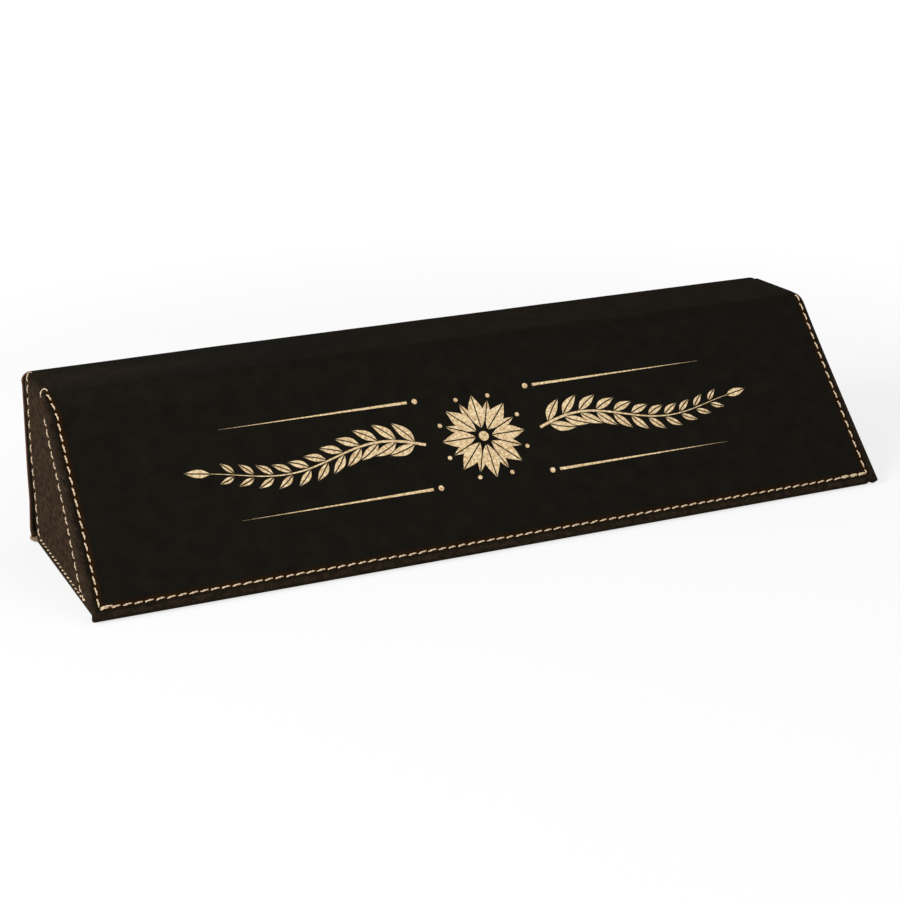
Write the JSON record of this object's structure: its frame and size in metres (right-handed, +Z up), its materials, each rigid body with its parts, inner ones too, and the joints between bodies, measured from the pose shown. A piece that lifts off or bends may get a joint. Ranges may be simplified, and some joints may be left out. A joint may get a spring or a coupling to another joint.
{
  "type": "desk name plate",
  "caption": "Folding wedge-shaped desk name plate of stitched leatherette over stiff boards, with hanging end flaps, a base and a magnetic closing tab; opens flat at its folds.",
  "frame": {"origin": "centre of the footprint, on the desk", "axes": "+X along the length, -Y out of the sloped front, +Z up"},
  "size_m": [0.2666, 0.0769, 0.0551],
  "materials": {
    "leatherette": "fine grain, satin",
    "greyboard": "matte",
    "lining": "matte",
    "thread": "twisted thread",
    "magnet": "nickel plated"
  },
  "bodies": {
    "front": {"front_cover": "leatherette", "front_board": "greyboard", "front_lining": "lining", "front_stitching": "thread", "front_magnets": "magnet"},
    "top": {"top_cover": "leatherette", "top_board": "greyboard", "top_lining": "lining", "front_fold_strip": "leatherette", "left_fold_strip": "leatherette", "right_fold_strip": "leatherette"},
    "back": {"back_cover": "leatherette", "back_board": "greyboard", "back_lining": "lining", "back_stitching": "thread", "rear_fold_strip": "leatherette"},
    "base": {"base_cover": "leatherette", "base_board": "greyboard", "base_lining": "lining", "base_stitching": "thread", "bottom_fold_strip": "leatherette", "tab_fold_strip": "leatherette"},
    "tab": {"tab_cover": "leatherette", "tab_board": "greyboard", "tab_lining": "lining", "tab_stitching": "thread", "tab_magnets": "magnet"},
    "left_flap": {"left_flap_cover": "leatherette", "left_flap_board": "greyboard", "left_flap_lining": "lining", "left_flap_stitching": "thread"},
    "right_flap": {"right_flap_cover": "leatherette", "right_flap_board": "greyboard", "right_flap_lining": "lining", "right_flap_stitching": "thread"}
  },
  "joints": [
    {"name": "back_fold", "type": "hinge", "parent": "base", "child": "back", "pos_m": [0, 0.03773, 0.00069], "axis": [-1, 0, 0], "range_deg": [0, 90], "deforming": ["bottom_fold_strip"]},
    {"name": "top_fold", "type": "hinge", "parent": "back", "child": "top", "pos_m": [0, 0.03773, 0.05446], "axis": [-1, 0, 0], "range_deg": [0, 90], "deforming": ["rear_fold_strip"]},
    {"name": "front_fold", "type": "hinge", "parent": "top", "child": "front", "pos_m": [0, 0.00951, 0.05495], "axis": [-1, 0, 0], "range_deg": [0, 48], "deforming": ["front_fold_strip"]},
    {"name": "left_flap_fold", "type": "hinge", "parent": "top", "child": "left_flap", "pos_m": [-0.13186, 0.02392, 0.05446], "axis": [0, 1, 0], "range_deg": [0, 90], "deforming": ["left_fold_strip"]},
    {"name": "right_flap_fold", "type": "hinge", "parent": "top", "child": "right_flap", "pos_m": [0.13186, 0.02392, 0.05446], "axis": [0, -1, 0], "range_deg": [0, 90], "deforming": ["right_fold_strip"]},
    {"name": "tab_fold", "type": "hinge", "parent": "base", "child": "tab", "pos_m": [0, -0.03229, 0.00156], "axis": [1, 0, 0], "range_deg": [0, 132], "deforming": ["tab_fold_strip"]}
  ],
  "couplings": [
    {"joint": "tab_fold", "follows": "back_fold", "ratio": 1.4667}
  ]
}
